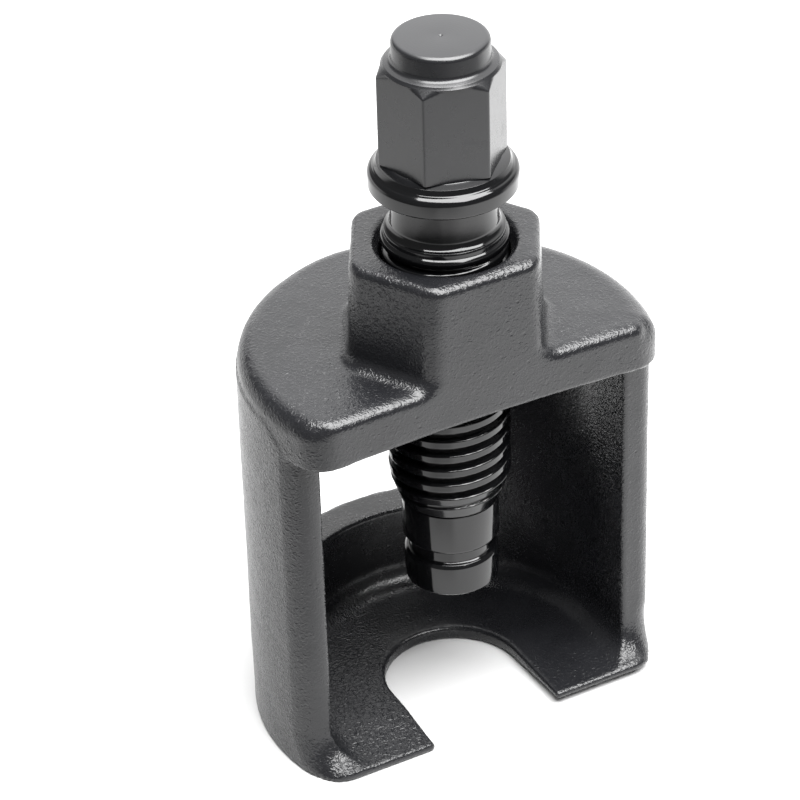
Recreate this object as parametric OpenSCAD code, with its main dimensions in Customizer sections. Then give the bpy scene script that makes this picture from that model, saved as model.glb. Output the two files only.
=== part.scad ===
// Bell-type ball joint separator: a one-piece forged bell with a fork foot,
// a hexagon-headed forcing screw through its boss, and a captive swivel pad
// on the screw's nose.
// Frame: origin on the screw axis at the resting plane, +Z up along the
// screw, the open side of the bell and the mouth of the fork face -Y.

/* [Bell body] */
// Outside radius of the bell
bell_r = 41.8; // [41:0.1:43]
// Radius of the cavity inside the bell
cavity_r = 35; // [34:0.1:36]
// Height of the cap's top face above the resting plane
cap_top = 87.3; // [86:0.1:90]
// Height of the cap's under face
cap_under = 77.8; // [76:0.1:79]
// Radius of the round over the cap's outer top edge
cap_round = 5; // [3:0.5:6]
// Distance from the screw axis to the flat front face of the cap
cap_front = 17; // [16.6:0.1:17.6]
// Plan radius of the cap's two front corners
cap_corner_r = 8; // [5:0.5:9]
// Distance from the screw axis to the front faces of the two legs
leg_front = 10.8; // [10:0.1:11.5]
// Plan radius of the legs' outer front corners
leg_corner_r = 4.5; // [3:0.5:5]
// Radius of the fillet round the cavity floor
floor_fillet = 6; // [4:0.5:8]

/* [Rear window] */
// Height of the rear wall's flat rim
rim_h = 21.8; // [18:0.1:26]
// Half width of the window between the legs at the back
window_half_w = 20; // [14:0.5:24]
// Radius of the window's upper corners
window_corner_r = 5; // [2:0.5:8]

/* [Fork] */
// Thickness of the fork plate
floor_t = 3; // [2.5:0.1:4]
// Width of the fork's mouth
slot_w = 29; // [27:0.5:31]
// Distance from the screw axis to the fork's front edge
fork_front = 18.2; // [17.8:0.1:19]
// Plan radius of the fork's outer front corners
fork_corner_r = 4; // [2:0.5:6]

/* [Boss] */
// Width of the boss hexagon across its flats
boss_af = 37.4; // [36:0.1:39]
// Height of the boss's top face
boss_top = 109.3; // [105:0.1:112]
// Radius of the lead-in cone at the top of the bore
bore_lead_r = 14.3; // [13:0.1:15]

/* [Forcing screw] */
// Outside diameter of the screw thread
thread_d = 24.7; // [24.5:0.1:25]
// Pitch of the screw thread
pitch = 3.5; // [3.2:0.1:4]
// Depth of the thread groove
thread_depth = 1.7; // [1.4:0.1:1.9]
// Radial clearance between the thread crests and the bore
thread_gap = 0.05; // [0.02:0.01:0.1]
// Height of the lower end of the thread with the screw at rest
thread_low = 50; // [48:0.5:54]
// Radius of the plain nose under the thread
nose_r = 9.95; // [9.6:0.05:10.2]
// Radius of the neck between the thread and the collar
neck_r = 10.4; // [9.8:0.1:10.8]
// Radius of the collar under the hexagon
collar_r = 14.65; // [14:0.05:15]
// Width of the drive hexagon across its flats
hex_af = 22; // [21:1:24]
// Turn of the drive hexagon from facing the open side
hex_turn = -15; // [-30:1:30]
// Radius of the round button on the hexagon
button_r = 9.4; // [8.5:0.1:9.8]
// Height of the button's top face with the screw at rest
screw_top = 153.2; // [152.5:0.1:155]

/* [Swivel pad] */
// Height of the pad's thrust face with the screw at rest
pad_low = 29.8; // [28:0.1:31]
// Radius of the pad
pad_r = 9.55; // [9:0.05:9.7]
// Radius of the waist between the pad and the nose
waist_r = 8.4; // [7.8:0.1:8.8]
// Radius of the pad's stem inside the nose
stem_r = 5; // [4.5:0.1:5.5]
// Radius of the snap ring's wire
ring_wire_r = 0.6; // [0.5:0.05:0.7]

/* [Hidden] */
$fn = 96;
far = 80;
bore_r = thread_d / 2 + thread_gap;
root_r = thread_d / 2 - thread_depth;
thread_high = boss_top + 0.9;
lead_len = 6;
flare_r = fork_front - leg_front - 0.1;
flare_z = floor_t + flare_r;
nose_low = 40.3;
pad_top = 37.2;
socket_top = 54;
ring_z = 47.2;
socket_gap = 0.05;
hex_low = 127.2;
black_paint = [0.16, 0.16, 0.17];
black_steel = [0.10, 0.10, 0.11];

// angle at which a corner round of radius c leaves a circle of radius r
function corner_y(front, c) = c - front;
function corner_x(r, front, c) = sqrt(pow(r - c, 2) - pow(corner_y(front, c), 2));
function corner_arc(r, front, c, steps) =
    let (cx = corner_x(r, front, c), cy = corner_y(front, c), a0 = atan2(cy, cx))
    [for (i = [0:steps]) let (a = a0 + (-90 - a0) * i / steps) [cx + c * cos(a), cy + c * sin(a)]];
function mirrored(pts) = [for (i = [len(pts) - 1:-1:0]) [-pts[i][0], pts[i][1]]];

// plan outline that trims a round body to a flat front with rounded corners
module front_trim(r, front, c, steps = 6) {
    arc = corner_arc(r, front, c, steps);
    start = arc[0] * (far / r);
    polygon(concat([[far, far]], [start], arc, mirrored(arc), [[-start[0], start[1]]], [[-far, far]]));
}

// half section of a turned block with a rounded foot and a rounded top
module round_section(r, z0, z1, f0, f1) {
    polygon([[0, z0], [r - f0, z0], [r, z0 + f0], [r, z1 - f1], [r - f1, z1], [0, z1]]);
    if (f0 > 0) translate([r - f0, z0 + f0]) circle(f0, $fn = 48);
    if (f1 > 0) translate([r - f1, z1 - f1]) circle(f1, $fn = 48);
}

module bell_blank() {
    intersection() {
        rotate_extrude($fn = 180) round_section(bell_r, 0, cap_top, 0, cap_round);
        union() {
            linear_extrude(cap_under) front_trim(bell_r, fork_front, fork_corner_r);
            translate([0, 0, cap_under]) linear_extrude(cap_top - cap_under + 1)
                front_trim(bell_r, cap_front, cap_corner_r);
        }
    }
}

// hexagon boss with its front flat flush with the cap's front face
module boss_blank() {
    intersection() {
        translate([0, 0, cap_under + 2]) cylinder(d = boss_af / cos(30), h = boss_top - cap_under - 2, $fn = 6);
        translate([-far, -cap_front, 0]) cube([2 * far, far, 2 * far]);
    }
}

module rear_window() {
    c = window_corner_r;
    w = window_half_w;
    translate([0, far, 0]) rotate([90, 0, 0]) linear_extrude(far - 5) {
        translate([-w, rim_h]) square([2 * w, cap_under - rim_h - c]);
        translate([-w + c, rim_h]) square([2 * (w - c), cap_under - rim_h]);
        for (s = [-1, 1]) translate([s * (w - c), cap_under - c]) circle(c, $fn = 48);
    }
}

module fork_slot() {
    translate([0, 0, -1]) {
        cylinder(d = slot_w, h = floor_t + 2);
        translate([-slot_w / 2, -far, 0]) cube([slot_w, far, floor_t + 2]);
    }
}

module bell_body() color(black_paint) {
    difference() {
        union() {
            bell_blank();
            boss_blank();
        }
        // round cavity, open to the front
        rotate_extrude($fn = 180) round_section(cavity_r, floor_t, cap_under, floor_fillet, 3);
        translate([-far, -far - leg_front - flare_r + 0.1, floor_t]) cube([2 * far, far, cap_under - floor_t]);
        // legs set back behind the cap's front face, with rounded outer corners
        difference() {
            translate([-far, -far, flare_z]) cube([2 * far, 2 * far, cap_under - flare_z]);
            translate([0, 0, flare_z - 1]) linear_extrude(cap_under - flare_z + 2)
                front_trim(bell_r, leg_front, leg_corner_r);
        }
        // hollow flare from the legs down to the fork's front edge
        translate([-far, -leg_front - flare_r, flare_z]) rotate([0, 90, 0]) cylinder(r = flare_r, h = 2 * far);
        rear_window();
        fork_slot();
        // bore for the screw, with a lead-in cone at each end
        translate([0, 0, cap_under - 5]) cylinder(r = bore_r, h = boss_top - cap_under + 10);
        translate([0, 0, boss_top - (bore_lead_r - bore_r)])
            cylinder(r1 = bore_r, r2 = bore_lead_r + 1, h = bore_lead_r + 1 - bore_r);
        translate([0, 0, cap_under - 1]) cylinder(r1 = bore_r + 2, r2 = bore_r, h = 2);
    }
}

// crest radius of the thread, tapered over the lead at the lower end
function crest_r(z) = z > thread_low + lead_len ? thread_d / 2
    : root_r + 0.3 + (thread_d / 2 - root_r - 0.3) * max(0, z - thread_low) / lead_len;
function groove(z) = [[crest_r(z), z], [root_r, z + 0.2 * pitch], [root_r, z + 0.38 * pitch], [crest_r(z + 0.58 * pitch), z + 0.58 * pitch]];
thread_turns = floor((thread_high - thread_low) / pitch);
function thread_section() = [for (i = [0:thread_turns - 1], p = groove(thread_low + 0.3 + i * pitch)) p];

module screw_section() {
    polygon(concat(
        [[0, nose_low], [nose_r - 0.9, nose_low], [nose_r, nose_low + 0.9], [nose_r, thread_low - 0.2]],
        [[root_r, thread_low]],
        thread_section(),
        [[thread_d / 2, thread_high], [thread_d / 2 - 0.5, thread_high + 1.2], [neck_r + 0.7, thread_high + 2.4],
         [neck_r, thread_high + 3.8], [neck_r, 119], [neck_r + 0.6, 120.6], [neck_r + 1.6, 121.4],
         [collar_r - 0.7, 121.4], [collar_r, 122.1], [collar_r, 125.1], [collar_r - 0.5, 126],
         [collar_r - 1.5, 126.4], [12.9, 126.5], [12.9, hex_low], [0, hex_low]]));
}

// turned cap of the hexagon: button, fillet and conical chamfer
module hex_top_section() {
    c = hex_af / 2 / cos(30);
    polygon([[0, hex_low - 0.6], [c + 1, hex_low - 0.6], [c + 1, screw_top - 7.7],
             [button_r + 1.4, screw_top - 6], [button_r + 0.5, screw_top - 5], [button_r, screw_top - 3.6],
             [button_r, screw_top - 0.6], [button_r - 0.5, screw_top], [0, screw_top]]);
}

module forcing_screw() color(black_steel) {
    difference() {
        union() {
            rotate_extrude() screw_section();
            intersection() {
                translate([0, 0, hex_low - 0.6]) rotate([0, 0, hex_turn])
                    cylinder(d = hex_af / cos(30), h = screw_top - hex_low + 2, $fn = 6);
                rotate_extrude() hex_top_section();
            }
        }
        // blind socket for the pad's stem, with a groove for the snap ring
        translate([0, 0, nose_low - 1]) cylinder(r = stem_r + socket_gap, h = socket_top - nose_low + 1);
        translate([0, 0, ring_z - ring_wire_r - socket_gap])
            cylinder(r = stem_r + ring_wire_r + 0.15, h = 2 * (ring_wire_r + socket_gap));
        // turning centre in the button
        translate([0, 0, screw_top - 0.7]) cylinder(r1 = 0, r2 = 0.8, h = 0.8, $fn = 48);
    }
}

module swivel_pad() color(black_steel) {
    g = ring_wire_r + socket_gap;
    rotate_extrude() polygon([
        [0, pad_low], [pad_r - 0.5, pad_low], [pad_r, pad_low + 0.5], [pad_r, pad_top - 0.6], [pad_r - 0.6, pad_top],
        [waist_r, pad_top], [waist_r, nose_low - socket_gap], [stem_r, nose_low - socket_gap],
        [stem_r, ring_z - g], [stem_r - ring_wire_r - 0.1, ring_z - g], [stem_r - ring_wire_r - 0.1, ring_z + g], [stem_r, ring_z + g],
        [stem_r, socket_top - 1.6], [stem_r - 1, socket_top - 0.6], [0, socket_top - 0.6]]);
}

// split wire ring, half in the stem's groove and half in the socket's
module pad_snap_ring() color([0.45, 0.45, 0.47]) {
    rotate([0, 0, 105]) rotate_extrude(angle = 330) translate([stem_r, ring_z]) circle(ring_wire_r, $fn = 24);
}

bell_body();
forcing_screw();
swivel_pad();
pad_snap_ring();
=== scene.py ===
import bpy
import math
import numpy as np
from mathutils import Matrix, Vector


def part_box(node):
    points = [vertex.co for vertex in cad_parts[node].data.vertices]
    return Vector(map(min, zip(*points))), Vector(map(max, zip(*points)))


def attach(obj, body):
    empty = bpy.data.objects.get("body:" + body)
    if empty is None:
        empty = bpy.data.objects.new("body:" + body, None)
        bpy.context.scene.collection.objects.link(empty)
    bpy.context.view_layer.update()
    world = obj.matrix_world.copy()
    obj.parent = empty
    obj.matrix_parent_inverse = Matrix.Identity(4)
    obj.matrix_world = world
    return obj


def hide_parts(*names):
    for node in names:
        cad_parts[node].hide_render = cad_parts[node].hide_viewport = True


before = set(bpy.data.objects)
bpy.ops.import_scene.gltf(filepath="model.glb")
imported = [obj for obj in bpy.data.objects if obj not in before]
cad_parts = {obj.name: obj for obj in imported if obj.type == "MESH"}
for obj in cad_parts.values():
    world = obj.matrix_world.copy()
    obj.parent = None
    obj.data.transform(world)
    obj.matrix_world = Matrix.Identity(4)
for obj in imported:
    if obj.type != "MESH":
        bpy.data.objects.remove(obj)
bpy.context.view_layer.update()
MM = 0.001

# ---------------------------------------------------------------- sizes, mm, in the CAD frame
AXIS_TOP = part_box("forcing_screw")[1].z / MM      # 153.2
BELL_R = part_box("bell_body")[1].y / MM            # 41.8
BOSS_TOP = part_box("bell_body")[1].z / MM - 0.1    # 109.2
FORK_FRONT = -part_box("bell_body")[0].y / MM       # 18.2
PAD_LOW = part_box("swivel_pad")[0].z / MM          # 29.8
CAP_TOP = 87.35
PITCH = 3.5
CREST = 12.33
ROOT = 10.65
THREAD_PHASE = 0.0


# ---------------------------------------------------------------- small maths kit
def sstep(a, b, t):
    t = np.clip((t - a) / (b - a), 0.0, 1.0)
    return t * t * (3 - 2 * t)


def round_union(a, b, r):
    u = np.maximum(r - a, 0)
    v = np.maximum(r - b, 0)
    return np.maximum(r, np.minimum(a, b)) - np.sqrt(u * u + v * v)


def round_cut(a, b, r):
    u = np.maximum(r + a, 0)
    v = np.maximum(r + b, 0)
    return np.minimum(-r, np.maximum(a, b)) + np.sqrt(u * u + v * v)


def lattice(ix, iy, iz, seed):
    n = (ix * 73856093) ^ (iy * 19349663) ^ (iz * 83492791) ^ (seed * 40503)
    n = (n * 1103515245 + 12345) & 0x7FFFFFFF
    n = n ^ (n >> 13)
    n = (n * 1664525 + 1013904223) & 0x7FFFFFFF
    n = n ^ (n >> 11)
    return (n & 0xFFFFFF) / float(0xFFFFFF) * 2 - 1


def noise(p, cell, seed):
    """Smooth lattice noise in -1..1 at the points p (n, 3), one bump every `cell` mm."""
    q = p / cell + 1000.0
    i = np.floor(q).astype(np.int64)
    f = q - i
    f = f * f * (3 - 2 * f)
    out = 0.0
    for dx in (0, 1):
        wx = f[:, 0] if dx else 1 - f[:, 0]
        for dy in (0, 1):
            wy = f[:, 1] if dy else 1 - f[:, 1]
            for dz in (0, 1):
                wz = f[:, 2] if dz else 1 - f[:, 2]
                out = out + wx * wy * wz * lattice(i[:, 0] + dx, i[:, 1] + dy, i[:, 2] + dz, seed)
    return out


def make_mesh(name, co, quads, tris=None):
    """One mesh object from points in mm, four-sided faces and three-sided faces."""
    me = bpy.data.meshes.new(name)
    quads = np.asarray(quads, np.int32).reshape(-1, 4)
    tris = np.zeros((0, 3), np.int32) if tris is None else np.asarray(tris, np.int32).reshape(-1, 3)
    me.vertices.add(len(co))
    me.vertices.foreach_set("co", (np.asarray(co) * MM).astype(np.float32).ravel())
    loops = np.concatenate([quads.ravel(), tris.ravel()])
    me.loops.add(len(loops))
    me.loops.foreach_set("vertex_index", loops)
    me.polygons.add(len(quads) + len(tris))
    starts = np.concatenate([np.arange(len(quads)) * 4, len(quads) * 4 + np.arange(len(tris)) * 3])
    me.polygons.foreach_set("loop_start", starts.astype(np.int32))
    me.polygons.foreach_set("use_smooth", np.ones(len(starts), bool))
    me.update(calc_edges=True)
    me.validate()
    ob = bpy.data.objects.new(name, me)
    bpy.context.scene.collection.objects.link(ob)
    return ob


# ---------------------------------------------------------------- screw thread, right-handed
def thread_u(z, th):
    return np.mod((z - PITCH * th / (2 * math.pi)) / PITCH + THREAD_PHASE, 1.0)


def thread_depth(u):
    """0 on the crest, 1 at the bottom of the rounded valley."""
    d = np.abs(u - 0.5) * 2            # 0 in the middle of the valley, 1 in the middle of the crest
    return 1 - sstep(0.16, 0.62, d)


def male_r(z, th):
    env = CREST - np.clip((56.0 - z) / 6.0, 0, 1) * 2.05
    run = 1 - sstep(108.2, 109.6, z)
    return np.minimum(CREST - (CREST - ROOT) * thread_depth(thread_u(z, th)) * run, env)


# ---------------------------------------------------------------- the forged bell, as a solid function
def bell(x, y, z):
    r = np.hypot(x, y)
    ax = np.abs(x)
    # as forged, the two skins are not quite true to the bore
    ro = np.hypot(x - 0.45, y - 0.3) - (BELL_R + 0.3)
    ri = 34.35 - np.where(y < 0, ax, r)
    # wall of the bell, with a window at the back over a flat rim
    cx = ax - 16.0
    cz = 25.8 - z
    win = np.minimum(np.maximum(cx, cz), 0) + np.hypot(np.maximum(cx, 0), np.maximum(cz, 0)) - 4.0
    win = np.maximum(win, 5.0 - y)
    w = round_cut(ri, -win, 0.45)
    # the lip of the fork thins toward its points; the right one stands a little proud of the ground
    lip = sstep(-3.0, -16.5, y)
    top = 3.0 - lip * (1.15 - 1.0 * sstep(-6, 6, x))
    low = 1.35 * sstep(6.0, -15.0, y) * sstep(6, 14, x)
    # inside: wall swept into the floor. in front: flat legs flared into the lip
    inner = round_union(w, z - top, 5.8)
    face = round_union(-10.75 - y, z - top, 7.3)
    f = round_cut(inner, face, 0.55 * sstep(4.0, 8.0, z) + 0.02)
    f = round_cut(f, -17.35 - y, 0.75)
    f = np.maximum(f, z - 82.0)
    # cap, gently crowned, with the hexagon boss growing out of it
    cap = z - (CAP_TOP - 0.65 * (r / BELL_R) ** 2)
    h = 18.36 + (BOSS_TOP - z) * 0.0355
    b1 = ax * 0.8660254 + 0.5 * y - h
    b2 = ax * 0.8660254 - 0.5 * y - h
    hexa = round_cut(round_cut(b1, b2, 2.3), np.abs(y) - h, 2.3)
    boss = round_cut(hexa, z - BOSS_TOP, 1.7)
    c = round_union(cap, boss, 2.7)
    front = sstep(-1.0, -7.5, y)
    # its flat front ends in a narrow bevel, its outer skin in a wide round
    plan = round_cut(np.hypot(x - 0.45, y) - (BELL_R + 0.05), -17.0 - y, 4.6)
    turn = np.maximum(sstep(33.5, 37.0, ax), sstep(-15.0, -8.0, y))
    bevel = round_cut(np.maximum(c, plan), 0.79 * c + 0.615 * plan + 0.9, 0.7)
    c = bevel * (1 - turn) + round_cut(c, plan, 3.9 + 1.8 * sstep(-10, 10, x)) * turn
    c = round_cut(c, 77.5 - 1.1 * (x / 34.0) ** 2 - z, 0.75)
    # outside of the wall, then the cap joined on with a fillet that dies out at the outer skin
    f = round_cut(f, ro, 0.55 + front * (2.25 + 2.1 * sstep(6, -6, x) + 1.9 * (1 - sstep(4, 14, z)) * sstep(-6, 6, x)))
    f = round_union(f, c, (1.3 + 1.9 * sstep(-10.5, -4.0, y)) * (1 - sstep(37.0, 41.0, r)) + 0.02)
    f = round_cut(f, low - z, 0.55)
    # mouth of the fork
    slot = np.where(y < 0.5, np.abs(x - 0.25), np.hypot(x - 0.25, y - 0.5)) - 14.45
    f = np.where(z < 15, round_cut(f, -slot, 0.7), f)
    # threaded bore
    th = np.arctan2(y, x)
    # (relieved above 95.6 mm, so the plain land over the screw's thread can follow it in)
    held = 1 - sstep(94.4, 95.6, z)
    rb = CREST + 0.28 + 0.17 * (1 - held) - 1.25 * thread_depth(thread_u(z, th)) * held
    rb = np.maximum(rb, 14.3 - (BOSS_TOP - z) * 0.62)
    rb = np.maximum(rb, 14.6 - (z - 77.6))
    bore = (rb - r) * 0.75
    f = np.where((z > 60) & (r < 24), round_cut(f, bore, 0.35), f)
    return f


def surface_nets(fn, lo, hi, step):
    ax = [np.arange(lo[k], hi[k] + step, step) for k in range(3)]
    X, Y, Z = np.meshgrid(*ax, indexing="ij", sparse=False)
    F = fn(X, Y, Z)
    del X, Y, Z
    S = F < 0
    n = [s - 1 for s in F.shape]
    cnt = np.zeros(n, np.uint8)
    for dx in (0, 1):
        for dy in (0, 1):
            for dz in (0, 1):
                cnt += S[dx:dx + n[0], dy:dy + n[1], dz:dz + n[2]]
    cells = np.argwhere((cnt > 0) & (cnt < 8))
    idx = -np.ones(n, np.int32)
    idx[cells[:, 0], cells[:, 1], cells[:, 2]] = np.arange(len(cells))
    acc = np.zeros((len(cells), 3))
    num = np.zeros(len(cells))
    corners = [(a, b, c) for a in (0, 1) for b in (0, 1) for c in (0, 1)]
    for a in corners:
        for k in range(3):
            if a[k]:
                continue
            b = list(a)
            b[k] = 1
            fa = F[cells[:, 0] + a[0], cells[:, 1] + a[1], cells[:, 2] + a[2]]
            fb = F[cells[:, 0] + b[0], cells[:, 1] + b[1], cells[:, 2] + b[2]]
            m = (fa < 0) != (fb < 0)
            t = np.where(m, fa / np.where(m, fa - fb, 1.0), 0.0)
            p = np.array(a, float)[None, :] + np.zeros((len(cells), 3))
            p[:, k] += t
            acc[m] += p[m]
            num[m] += 1
    co = (cells + acc / num[:, None]) * step + np.array(lo)
    quads = []
    for k in range(3):
        i, j = [(1, 2), (2, 0), (0, 1)][k]
        sl0 = [slice(None)] * 3
        sl1 = [slice(None)] * 3
        sl0[k] = slice(0, -1)
        sl1[k] = slice(1, None)
        e = np.argwhere(S[tuple(sl0)] != S[tuple(sl1)])
        e = e[(e[:, i] > 0) & (e[:, j] > 0) & (e[:, i] < F.shape[i] - 1) & (e[:, j] < F.shape[j] - 1)]
        q = []
        for di, dj in ((-1, -1), (0, -1), (0, 0), (-1, 0)):
            c = e.copy()
            c[:, i] += di
            c[:, j] += dj
            q.append(idx[c[:, 0], c[:, 1], c[:, 2]])
        q = np.stack(q, 1)
        inside = S[e[:, 0], e[:, 1], e[:, 2]]
        q[~inside] = q[~inside][:, ::-1]
        quads.append(q)
    return co, np.concatenate(quads)


def gradient(fn, p, e=0.03):
    g = np.zeros_like(p)
    for k in range(3):
        a = p.copy()
        b = p.copy()
        a[:, k] += e
        b[:, k] -= e
        g[:, k] = (fn(a[:, 0], a[:, 1], a[:, 2]) - fn(b[:, 0], b[:, 1], b[:, 2])) / (2 * e)
    return g


def onto(fn, p, limit, rounds=2):
    for _ in range(rounds):
        g = gradient(fn, p)
        f = fn(p[:, 0], p[:, 1], p[:, 2])
        s = (f / np.maximum((g * g).sum(1), 0.09))[:, None] * g
        ln = np.linalg.norm(s, axis=1, keepdims=True)
        p = p - s * np.minimum(1.0, limit / np.maximum(ln, 1e-9))
    return p


def relax(fn, p, quads, rounds, limit):
    """Evens the mesh out along the surface."""
    a = quads.ravel()
    b = np.roll(quads, -1, axis=1).ravel()
    ends = np.concatenate([a, b])
    other = np.concatenate([b, a])
    deg = np.bincount(ends, minlength=len(p)).astype(float)
    for _ in range(rounds):
        av = np.stack([np.bincount(ends, weights=p[other, k], minlength=len(p)) for k in range(3)], 1) / deg[:, None]
        g = gradient(fn, p)
        g /= np.maximum(np.linalg.norm(g, axis=1, keepdims=True), 1e-9)
        d = av - p
        d -= g * (d * g).sum(1, keepdims=True)
        p = onto(fn, p + 0.5 * d, limit, 1)
    return p


STEP = 0.72
co, quads = surface_nets(bell, (-43.3, -19.0, -1.1), (44.3, 44.0, 110.6), STEP)
co = onto(bell, co, STEP * 0.6, 2)
co = relax(bell, co, quads, 3, STEP * 0.4)
co = onto(bell, co, STEP * 0.3, 1)
nrm = gradient(bell, co)
nrm /= np.maximum(np.linalg.norm(nrm, axis=1, keepdims=True), 1e-9)
# slow unevenness of a forged and shot-blasted skin, kept off the bore and the resting face
keep = sstep(13.2, 15.2, np.hypot(co[:, 0], co[:, 1])) + (co[:, 2] < 60)
keep = np.clip(keep, 0, 1) * sstep(0.05, 1.2, co[:, 2])
swell = 0.070 * noise(co, 9.0, 3) + 0.040 * noise(co, 4.0, 5) + 0.022 * noise(co, 2.0, 7)
co = co + nrm * (swell * keep)[:, None]
bell_ob = make_mesh("forged_bell", co, quads)


# ---------------------------------------------------------------- turned parts
def turned(points):
    """Points (r, z, corner radius) down a half section; each corner is rounded with short chords."""
    out = []
    n = len(points)
    for i, (r, z, c) in enumerate(points):
        if c <= 0 or i in (0, n - 1):
            out.append((r, z))
            continue
        p = np.array([r, z], float)
        a = np.array(points[i - 1][:2], float) - p
        b = np.array(points[i + 1][:2], float) - p
        la, lb = np.linalg.norm(a), np.linalg.norm(b)
        a, b = a / la, b / lb
        ang = math.acos(max(-1.0, min(1.0, float(a @ b))))
        d = min(c / math.tan(ang / 2), 0.49 * la, 0.49 * lb)
        rad = d * math.tan(ang / 2)
        cen = p + (a + b) / np.linalg.norm(a + b) * (rad / math.sin(ang / 2))
        s, e = p + a * d - cen, p + b * d - cen
        turn = math.pi - ang
        k = max(2, int(math.ceil(turn / 0.26)))
        for j in range(k + 1):
            t = j / k
            v = (math.sin((1 - t) * turn) * s + math.sin(t * turn) * e) / math.sin(turn)
            out.append(tuple(cen + v))
    return out


def lathe(name, rows, columns, radius=None):
    """Closed turned mesh. rows: (r, z) from the axis back to the axis; radius(r, z, th) may shape each row."""
    th = np.asarray(columns, float)
    nc = len(th)
    rz = np.array(rows[1:-1], float)
    R = np.repeat(rz[:, :1], nc, 1)
    Z = np.repeat(rz[:, 1:], nc, 1)
    T = np.repeat(th[None, :], len(rz), 0)
    if radius is not None:
        R = radius(R, Z, T)
    ring = np.stack([R * np.cos(T), R * np.sin(T), Z], 2).reshape(-1, 3)
    co = np.concatenate([ring, [[0, 0, rows[0][1]], [0, 0, rows[-1][1]]]])
    i, j = np.meshgrid(np.arange(len(rz) - 1), np.arange(nc), indexing="ij")
    k = (j + 1) % nc
    quads = np.stack([i * nc + j, (i + 1) * nc + j, (i + 1) * nc + k, i * nc + k], 2).reshape(-1, 4)
    a = np.arange(nc)
    b = (a + 1) % nc
    last = (len(rz) - 1) * nc
    tris = np.concatenate([
        np.stack([np.full(nc, len(ring)), a, b], 1),
        np.stack([np.full(nc, len(ring) + 1), last + b, last + a], 1)])
    return make_mesh(name, co, quads, tris)


def spread(z0, z1, step):
    n = max(2, int(round(abs(z1 - z0) / step)) + 1)
    return list(np.linspace(z0, z1, n))


HEX_TURN = math.radians(-15.0)
HEX_H = 11.0
HEX_LOW, HEX_HIGH = 127.62, 147.15


def hex_radius(th):
    """Outline of the drive hexagon, its corners very slightly broken."""
    base = th - (HEX_TURN - math.pi / 2)
    ph = np.mod(base + math.pi / 6, math.pi / 3) - math.pi / 6
    a = HEX_H / np.cos(ph)
    b = HEX_H / np.cos(math.pi / 3 - np.abs(ph))
    k = 0.22
    hmix = np.clip(0.5 + 0.5 * (b - a) / k, 0, 1)
    return b * (1 - hmix) + a * hmix - k * hmix * (1 - hmix)


screw_cols = []
for s in range(6):
    c = HEX_TURN - math.pi / 2 + s * math.pi / 3
    for d in (-29.2, -28.2, -26.8, -24.5, -20.5, -15.5, -10.4, -5.2, 0, 5.2, 10.4, 15.5, 20.5, 24.5, 26.8, 28.2, 29.2, 30.0):
        screw_cols.append(c + math.radians(d))

T = AXIS_TOP
head = turned([
    (0, T - 0.42, 0), (0.42, T - 0.05, 0.1), (0.6, T, 0.1), (9.42, T, 1.05),
    (9.52, T - 4.55, 1.7), (10.98, T - 5.0, 0.12), (11.1, T - 5.2, 0)])
# cone over the hexagon's corners: rows close enough to draw the curved edges
cone = [(11.1 + (12.95 - 11.1) * t, T - 5.2 - 2.2 * t) for t in np.linspace(0.05, 1, 20)]
hex_rows = [(12.95, z) for z in spread(T - 7.6, 129.2, 1.2)] + [(12.95, z) for z in spread(129.0, 127.95, 0.15)]
under = turned([
    (12.95, 127.9, 0), (12.9, 127.66, 0.05), (11.4, 127.72, 0.05), (11.25, 127.62, 0.1), (11.7, 127.5, 0.25), (12.88, 127.2, 0.06), (12.95, 127.0, 0.05), (13.35, 126.2, 0.25), (13.6, 126.0, 0)])
under += [(13.1 + 1.55 * math.sin(a), 124.4 + 1.55 * math.cos(a)) for a in np.radians(np.arange(22, 91, 8.0))]
under += turned([(14.65, 124.3, 0), (14.66, 122.0, 0.4), (14.0, 121.42, 0.3), (10.9, 121.3, 0.5), (10.4, 121.0, 0)])
neck = [(10.15 + 0.0125 * (120.5 - z) ** 2, z) for z in spread(120.5, 114.1, 0.28)]
neck += [(10.66 + 1.9 * (math.cos(math.radians(9.0)) - math.cos(a)), 114.0 - 1.9 * (math.sin(a) - math.sin(math.radians(9.0)))) for a in np.radians(np.arange(10, 66, 5.0))]
collar_foot = turned([
    (11.78, 112.55, 0), (11.92, 112.2, 0.35), (11.92, 111.35, 0.2), (12.25, 111.1, 0.15), (12.5, 110.8, 0.25), (12.5, 109.8, 0.1)])
under = under + neck + collar_foot
thread_rows = [(CREST, z) for z in np.arange(109.6, 50.02, -0.135)]
lower = turned([
    (10.3, 50.0, 0), (9.62, 49.85, 0.06), (9.62, 49.6, 0.06), (9.95, 49.45, 0.12), (9.95, 40.3, 0.95), (5.3, 40.3, 0.15),
    (5.05, 40.6, 0.1), (5.05, 46.55, 0), (5.75, 46.55, 0), (5.75, 47.85, 0), (5.05, 47.85, 0), (5.05, 54.0, 0.2), (0, 54.0, 0)])
rows = head[:-1] + cone + hex_rows + under + thread_rows + lower[1:]


def screw_shape(r, z, th):
    inhex = (z < HEX_HIGH + 0.4) & (z > HEX_LOW - 0.01)
    hr = hex_radius(th)
    k = 0.12
    hmix = np.clip(0.5 + 0.5 * (hr - r) / k, 0, 1)
    rh = hr * (1 - hmix) + r * hmix - k * hmix * (1 - hmix)
    out = np.where(inhex, rh, r)
    thr = (z <= 109.65) & (z > 50.01) & (r > 11.0)
    return np.where(thr, male_r(z, th), out)


screw_ob = lathe("forcing_screw_steel", rows, screw_cols, screw_shape)

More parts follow.
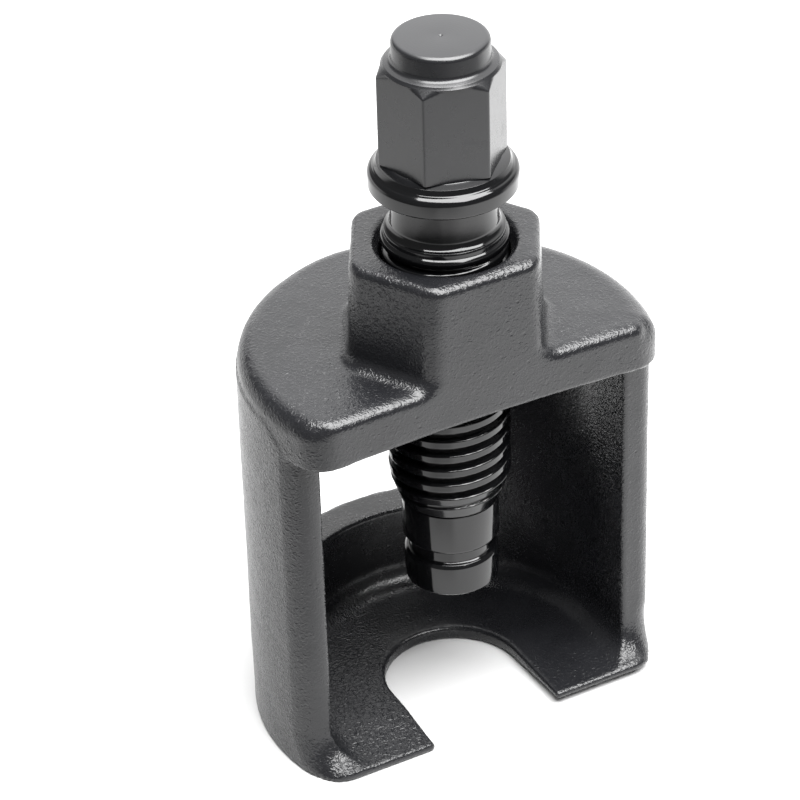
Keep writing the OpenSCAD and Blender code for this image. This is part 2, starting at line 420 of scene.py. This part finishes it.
pad_rows = turned([
    (0, PAD_LOW, 0), (9.0, PAD_LOW, 0.2), (9.55, PAD_LOW + 0.55, 0.3), (9.55, 36.5, 0.5), (9.0, 37.2, 0.3), (8.75, 37.22, 0.15),
    (8.35, 37.5, 0.3), (8.35, 40.25, 0.05), (5.0, 40.25, 0), (5.0, 46.55, 0), (4.3, 46.55, 0), (4.3, 47.85, 0), (5.0, 47.85, 0),
    (5.0, 52.4, 0.1), (4.0, 53.4, 0.1), (0, 53.4, 0)])[::-1]
pad_ob = lathe("swivel_pad_steel", pad_rows, list(np.linspace(0, 2 * math.pi, 96, endpoint=False)))


def wire_ring(name, rad, z, wire, a0, sweep):
    n, m = 72, 14
    A = math.radians(a0) + np.linspace(0, math.radians(sweep), n)
    B = np.linspace(0, 2 * math.pi, m, endpoint=False)
    co = []
    for k, a in enumerate(A):
        end = min(k, n - 1 - k)
        w = wire * (1.0 if end > 1 else (0.93 if end == 1 else 0.72))
        for b in B:
            rr = rad + w * math.cos(b)
            co.append((rr * math.cos(a), rr * math.sin(a), z + w * math.sin(b)))
    quads = [(i * m + j, (i + 1) * m + j, (i + 1) * m + (j + 1) % m, i * m + (j + 1) % m) for i in range(n - 1) for j in range(m)]
    c0, c1 = len(co), len(co) + 1
    co.append((rad * math.cos(A[0]), rad * math.sin(A[0]), z))
    co.append((rad * math.cos(A[-1]), rad * math.sin(A[-1]), z))
    tris = [(c0, j, (j + 1) % m) for j in range(m)]
    tris += [(c1, (n - 1) * m + (j + 1) % m, (n - 1) * m + j) for j in range(m)]
    return make_mesh(name, co, quads, tris)


ring_ob = wire_ring("pad_snap_ring_wire", 5.0, 47.2, 0.58, 105, 330)


# ---------------------------------------------------------------- materials
class Nodes:
    def __init__(self, tree):
        self.t = tree
        tree.nodes.clear()

    def n(self, kind, **props):
        node = self.t.nodes.new(kind)
        for k, v in props.items():
            setattr(node, k, v)
        return node

    def link(self, a, b):
        self.t.links.new(a, b)

    def value(self, sock, v):
        if hasattr(v, "is_linked"):
            self.link(v, sock)
        else:
            sock.default_value = v

    def math(self, op, a, b=0.0, c=0.0, clamp=False):
        m = self.n("ShaderNodeMath", operation=op)
        m.use_clamp = clamp
        self.value(m.inputs[0], a)
        self.value(m.inputs[1], b)
        self.value(m.inputs[2], c)
        return m.outputs[0]

    def ramp(self, v, a, b, lo=0.0, hi=1.0, smooth=True):
        m = self.n("ShaderNodeMapRange", interpolation_type="SMOOTHSTEP" if smooth else "LINEAR")
        self.value(m.inputs["Value"], v)
        m.inputs["From Min"].default_value = a
        m.inputs["From Max"].default_value = b
        m.inputs["To Min"].default_value = lo
        m.inputs["To Max"].default_value = hi
        return m.outputs["Result"]

    def noise(self, vec, scale, detail=2.0, rough=0.5, dist=0.0):
        m = self.n("ShaderNodeTexNoise")
        self.link(vec, m.inputs["Vector"])
        m.inputs["Scale"].default_value = scale
        m.inputs["Detail"].default_value = detail
        m.inputs["Roughness"].default_value = rough
        m.inputs["Distortion"].default_value = dist
        return m.outputs["Fac"]

    def voronoi(self, vec, scale, rand=1.0, feature="F1"):
        m = self.n("ShaderNodeTexVoronoi", feature=feature)
        self.link(vec, m.inputs["Vector"])
        m.inputs["Scale"].default_value = scale
        m.inputs["Randomness"].default_value = rand
        return m.outputs["Distance"]

    def bump(self, height, dist, strength=1.0, normal=None):
        m = self.n("ShaderNodeBump")
        m.inputs["Strength"].default_value = strength
        m.inputs["Distance"].default_value = dist
        self.link(height, m.inputs["Height"])
        if normal is not None:
            self.link(normal, m.inputs["Normal"])
        return m.outputs["Normal"]

    def mix(self, fac, a, b):
        m = self.n("ShaderNodeMix", data_type="RGBA")
        self.value(m.inputs[0], fac)
        self.value(m.inputs[6], a)
        self.value(m.inputs[7], b)
        return m.outputs[2]


def new_material(name):
    m = bpy.data.materials.new(name)
    m.use_nodes = True
    k = Nodes(m.node_tree)
    out = k.n("ShaderNodeOutputMaterial")
    bs = k.n("ShaderNodeBsdfPrincipled")
    k.link(bs.outputs[0], out.inputs[0])
    pos = k.n("ShaderNodeTexCoord").outputs["Object"]
    return m, k, bs, pos


def forging_paint():
    m, k, bs, pos = new_material("painted_forging")
    # wrinkled skin under the paint: short crooked ridges, a finer grain between them, and rare pits
    crook = k.noise(pos, 1150, 1.0, 0.5, 0.5)
    ridge = k.math("ABSOLUTE", k.math("MULTIPLY_ADD", crook, 2.0, -1.0))
    fine = k.noise(pos, 2300, 2.0, 0.6)
    pits = k.ramp(k.voronoi(pos, 430, 1.0), 0.08, 0.20)
    # how strong it is: least on the flat fronts, most on the flanks and the fork, calm deep inside
    at = k.n("ShaderNodeSeparateXYZ")
    k.link(pos, at.inputs[0])
    geo = k.n("ShaderNodeSeparateXYZ")
    k.link(k.n("ShaderNodeNewGeometry").outputs["Normal"], geo.inputs[0])
    flank = k.math("MULTIPLY", k.ramp(k.math("ABSOLUTE", geo.outputs[2]), 0.5, 0.2), k.ramp(geo.outputs[1], -0.92, -0.75))
    flank = k.math("MULTIPLY", flank, k.ramp(at.outputs[2], 0.084, 0.078))
    plain = k.ramp(geo.outputs[1], -0.78, -0.93)
    fork = k.math("MULTIPLY", k.ramp(at.outputs[2], 0.0064, 0.0044), k.ramp(geo.outputs[2], 0.6, 0.9))
    rad = k.math("SQRT", k.math("ADD", k.math("MULTIPLY", at.outputs[0], at.outputs[0]), k.math("MULTIPLY", at.outputs[1], at.outputs[1])))
    deep = k.math("MULTIPLY", k.ramp(rad, 0.0352, 0.0344), k.ramp(at.outputs[1], -0.006, 0.004))
    deep = k.math("MULTIPLY", deep, k.ramp(at.outputs[2], 0.076, 0.072))
    deep = k.math("MULTIPLY", deep, k.math("MAXIMUM", k.ramp(at.outputs[2], 0.0035, 0.0055), k.ramp(at.outputs[0], -0.012, -0.004)))
    fork = k.math("MULTIPLY", fork, k.ramp(at.outputs[0], 0.008, -0.008, 0.25, 1.0))
    amp = k.math("MULTIPLY_ADD", plain, -0.10, 0.60)
    amp = k.math("MULTIPLY_ADD", flank, 0.65, amp)
    amp = k.math("MULTIPLY_ADD", fork, 0.75, amp)
    amp = k.math("MULTIPLY", amp, k.math("MULTIPLY_ADD", deep, -0.72, 1.0))
    h = k.math("MULTIPLY_ADD", ridge, 1.1, k.math("MULTIPLY", fine, 0.32))
    h = k.math("MULTIPLY", h, amp)
    nrm = k.bump(h, 0.00019, 0.85)
    nrm = k.bump(pits, 0.00009, 0.5, nrm)
    k.link(nrm, bs.inputs["Normal"])
    wide = k.noise(pos, 95, 3.0, 0.6)
    tone = k.mix(k.ramp(wide, 0.3, 0.7), (0.0056, 0.0058, 0.0068, 1), (0.0078, 0.0080, 0.0092, 1))
    tone = k.mix(k.ramp(fine, 0.62, 0.78), tone, (0.0105, 0.0107, 0.0118, 1))
    k.link(tone, bs.inputs["Base Color"])
    rough = k.math("MULTIPLY_ADD", wide, 0.12, 0.15)
    rough = k.math("MULTIPLY_ADD", fine, 0.10, rough)
    rough = k.math("MULTIPLY_ADD", fork, 0.10, rough)
    k.link(rough, bs.inputs["Roughness"])
    bs.inputs["IOR"].default_value = 1.46
    return m


def screw_black(name, turned_face):
    m, k, bs, pos = new_material(name)
    sep = k.n("ShaderNodeSeparateXYZ")
    k.link(pos, sep.inputs[0])
    rad = k.math("SQRT", k.math("ADD", k.math("MULTIPLY", sep.outputs[0], sep.outputs[0]), k.math("MULTIPLY", sep.outputs[1], sep.outputs[1])))
    # turning marks: grooves at uneven spacing, round the axis on the end face only
    onend = k.ramp(sep.outputs[2], turned_face - 0.0004, turned_face - 0.00012)
    wob = k.noise(pos, 240, 2.0, 0.6)
    ph = k.math("MULTIPLY_ADD", rad, 9200.0, k.math("MULTIPLY", wob, 3.0))
    rings = k.math("MULTIPLY_ADD", k.math("SINE", ph), 0.5, 0.5)
    soft = k.noise(pos, 420, 2.0, 0.5)
    grain = k.noise(pos, 2600, 1.0, 0.5)
    specks = k.ramp(k.voronoi(pos, 700, 1.0), 0.03, 0.10)
    h = k.math("MULTIPLY_ADD", k.math("MULTIPLY", rings, onend), 0.16, k.math("MULTIPLY", soft, 0.5))
    h = k.math("MULTIPLY_ADD", grain, 0.10, h)
    nrm = k.bump(h, 0.00002, 0.7)
    nrm = k.bump(specks, 0.00002, 0.5, nrm)
    k.link(nrm, bs.inputs["Normal"])
    wear = k.ramp(k.noise(pos, 160, 4.0, 0.65), 0.60, 0.74)
    tone = k.mix(wear, (0.0022, 0.0023, 0.0026, 1), (0.0045, 0.0045, 0.005, 1))
    satin = k.ramp(sep.outputs[2], turned_face - 0.0262, turned_face - 0.0252)
    tone = k.mix(k.math("MULTIPLY", satin, 0.75), tone, (0.0085, 0.0087, 0.0098, 1))
    tone = k.mix(k.math("MULTIPLY", onend, 0.6), tone, (0.016, 0.0162, 0.0175, 1))
    k.link(tone, bs.inputs["Base Color"])
    rough = k.math("MULTIPLY_ADD", soft, 0.06, 0.065)
    rough = k.math("MULTIPLY_ADD", satin, 0.17, rough)
    rough = k.math("MULTIPLY_ADD", onend, 0.06, rough)
    rough = k.math("MULTIPLY_ADD", wear, 0.07, rough)
    k.link(rough, bs.inputs["Roughness"])
    bs.inputs["IOR"].default_value = 1.52
    k.link(k.math("MULTIPLY_ADD", satin, 0.08, 0.40), bs.inputs["Specular IOR Level"])
    return m


def spring_wire():
    m, k, bs, pos = new_material("spring_wire")
    stretch = k.n("ShaderNodeMapping")
    stretch.inputs["Scale"].default_value = (1, 1, 6)
    k.link(pos, stretch.inputs["Vector"])
    draw = k.noise(stretch.outputs[0], 1800, 3.0, 0.6)
    k.link(k.bump(draw, 0.00001, 0.6), bs.inputs["Normal"])
    k.link(k.mix(k.ramp(k.noise(pos, 900, 3.0, 0.6), 0.45, 0.7), (0.30, 0.30, 0.31, 1), (0.16, 0.14, 0.12, 1)), bs.inputs["Base Color"])
    k.link(k.math("MULTIPLY_ADD", draw, 0.2, 0.2), bs.inputs["Roughness"])
    bs.inputs["Metallic"].default_value = 1.0
    return m


paint = forging_paint()
black = screw_black("black_screw_steel", AXIS_TOP * MM)
padmat = screw_black("black_pad_steel", 1.0)
wire = spring_wire()

for ob, mat, body, node, slot_name in (
        (bell_ob, paint, "bell", "bell_body", "painted_forging"),
        (screw_ob, black, "screw", "forcing_screw", "black_screw_steel"),
        (pad_ob, padmat, "pad", "swivel_pad", "black_pad_steel"),
        (ring_ob, wire, "ring", "pad_snap_ring", "spring_wire")):
    ob.data.materials.append(mat)
    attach(ob, body)
    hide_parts(node)

# ---------------------------------------------------------------- floor, light, camera
floor_me = bpy.data.meshes.new("floor")
s = 0.7
floor_me.from_pydata([(-s, -s, -0.00005), (s, -s, -0.00005), (s, s, -0.00005), (-s, s, -0.00005)], [], [(0, 1, 2, 3)])
floor_ob = bpy.data.objects.new("floor", floor_me)
bpy.context.scene.collection.objects.link(floor_ob)
fm = bpy.data.materials.new("pale_floor")
fm.use_nodes = True
k = Nodes(fm.node_tree)
out = k.n("ShaderNodeOutputMaterial")
lp = k.n("ShaderNodeLightPath")


def lit(white, glow):
    d = k.n("ShaderNodeBsdfDiffuse")
    sep = k.n("ShaderNodeSeparateXYZ")
    k.link(k.n("ShaderNodeTexCoord").outputs["Object"], sep.inputs[0])
    if glow == 0:
        # painted shade in the floor's colour, for reflections only: brightest to the right, dimmer to the left and
        # away under the camera
        over = k.math("MULTIPLY_ADD", sep.outputs[0], 0.884, k.math("MULTIPLY", sep.outputs[1], -0.467))
        near = k.math("MULTIPLY_ADD", sep.outputs[0], -0.467, k.math("MULTIPLY", sep.outputs[1], -0.884))
        base = k.ramp(over, -0.07, -0.01, 0.72, 1.0)
        painted_dip_shade = k.math("MULTIPLY", k.ramp(near, 0.04, 0.09, 0.0, 0.32), k.ramp(over, 0.018, -0.006))
        painted_dip_shade = k.math("MULTIPLY", painted_dip_shade, k.math("MULTIPLY", k.ramp(over, -0.075, -0.040), k.ramp(near, 0.19, 0.13)))
        painted_far_shade = k.math("MULTIPLY", k.ramp(near, 0.14, 0.24, 0.0, 0.36), k.ramp(over, 0.20, 0.02))
        shade = k.math("MULTIPLY", base, k.math("SUBTRACT", 1.0, painted_dip_shade))
        shade = k.math("MULTIPLY", shade, k.math("SUBTRACT", 1.0, painted_far_shade))
        out_there = k.math("SQRT", k.math("ADD", k.math("MULTIPLY", over, over), k.math("MULTIPLY", near, near)))
        painted_fade_shade = k.math("MULTIPLY", k.ramp(out_there, 0.26, 0.42, 0.0, 0.85), k.ramp(near, -0.15, 0.05))
        shade = k.math("MULTIPLY", shade, k.math("SUBTRACT", 1.0, painted_fade_shade))
        shade = k.math("MULTIPLY", shade, white)
    else:
        shade = k.math("ADD", white, 0.0)
    k.link(shade, d.inputs["Color"])
    e = k.n("ShaderNodeEmission")
    e.inputs["Strength"].default_value = glow
    a = k.n("ShaderNodeAddShader")
    k.link(d.outputs[0], a.inputs[0])
    k.link(e.outputs[0], a.inputs[1])
    return a.outputs[0]


mixer = k.n("ShaderNodeMixShader")
k.link(lp.outputs["Is Camera Ray"], mixer.inputs[0])
# reflections see the floor with painted shade; the camera sees it evenly bright
k.link(lit(0.55, 0.0), mixer.inputs[1])
k.link(lit(0.43, 0.02), mixer.inputs[2])
k.link(mixer.outputs[0], out.inputs[0])
floor_me.materials.append(fm)

AZ, EL, ROLL = math.radians(-27.843), math.radians(33.819), math.radians(-1.768)
right = Vector((math.cos(AZ), math.sin(AZ), 0))
back = Vector((math.sin(AZ) * math.cos(EL), -math.cos(AZ) * math.cos(EL), math.sin(EL)))
up = right.cross(-back)
X = right * math.cos(ROLL) + up * math.sin(ROLL)
Y = -right * math.sin(ROLL) + up * math.cos(ROLL)
cam_data = bpy.data.cameras.new("camera")
cam_data.sensor_width = 36.0
cam_data.lens = 163.19
cam_data.clip_start = 0.02
cam_data.clip_end = 20
cam = bpy.data.objects.new("camera", cam_data)
bpy.context.scene.collection.objects.link(cam)
cam.matrix_world = Matrix((
    (X.x, Y.x, back.x, -0.287988), (X.y, Y.y, back.y, -0.524639), (X.z, Y.z, back.z, 0.472705), (0, 0, 0, 1)))
bpy.context.scene.camera = cam


def softbox(name, direction, distance, size, radiance):
    d = Vector(direction).normalized()
    ld = bpy.data.lights.new(name, "AREA")
    ld.shape = "RECTANGLE"
    ld.size, ld.size_y = size
    ld.energy = radiance * math.pi * size[0] * size[1]
    lo = bpy.data.objects.new(name, ld)
    bpy.context.scene.collection.objects.link(lo)
    lo.location = d * distance + Vector((0, 0, 0.07))
    lo.rotation_mode = "QUATERNION"
    lo.rotation_quaternion = d.to_track_quat("Z", "Y")
    return lo


key = softbox("overhead_softbox", (0.125, -0.342, 1.0), 1.2, (1.5, 1.15), 18.0)
key.rotation_mode = "XYZ"
key.rotation_euler = (0, 0, math.atan2(-0.809, 0.588))

world = bpy.data.worlds.new("studio")
bpy.context.scene.world = world
world.use_nodes = True
k = Nodes(world.node_tree)
out = k.n("ShaderNodeOutputWorld")
gen = k.n("ShaderNodeTexCoord").outputs["Generated"]


def dot(v):
    m = k.n("ShaderNodeVectorMath", operation="DOT_PRODUCT")
    k.link(gen, m.inputs[0])
    m.inputs[1].default_value = v
    return m.outputs["Value"]


side = dot((right.x, right.y, 0))
away = dot((-math.sin(AZ), math.cos(AZ), 0))
height = dot((0, 0, 1))
# lit backdrop across from the camera, with soft limits; the rest of the room is dim
patch = k.math("MULTIPLY", k.ramp(side, -0.62, -0.30), k.ramp(side, 0.85, 0.60))
patch = k.math("MULTIPLY", patch, k.ramp(away, 0.05, 0.35))
patch = k.math("MULTIPLY", patch, k.ramp(height, 0.93, 0.80))
rim = k.math("MULTIPLY", k.ramp(height, 0.20, 0.02), k.ramp(away, -0.2, 0.3))
strength = k.math("MULTIPLY_ADD", patch, 1.8, 0.25)
strength = k.math("MAXIMUM", strength, k.math("MULTIPLY", rim, 1.8))
bg = k.n("ShaderNodeBackground")
k.link(strength, bg.inputs["Strength"])
bg.inputs["Color"].default_value = (1, 1, 1, 1)
white = k.n("ShaderNodeBackground")
white.inputs["Strength"].default_value = 1.0
white.inputs["Color"].default_value = (1, 1, 1, 1)
wl = k.n("ShaderNodeLightPath")
wm = k.n("ShaderNodeMixShader")
k.link(wl.outputs["Is Camera Ray"], wm.inputs[0])
k.link(bg.outputs[0], wm.inputs[1])
k.link(white.outputs[0], wm.inputs[2])
k.link(wm.outputs[0], out.inputs[0])

vs = bpy.context.scene.view_settings
vs.view_transform = "Standard"
vs.look = "None"
vs.exposure = 0.0
vs.gamma = 1.0
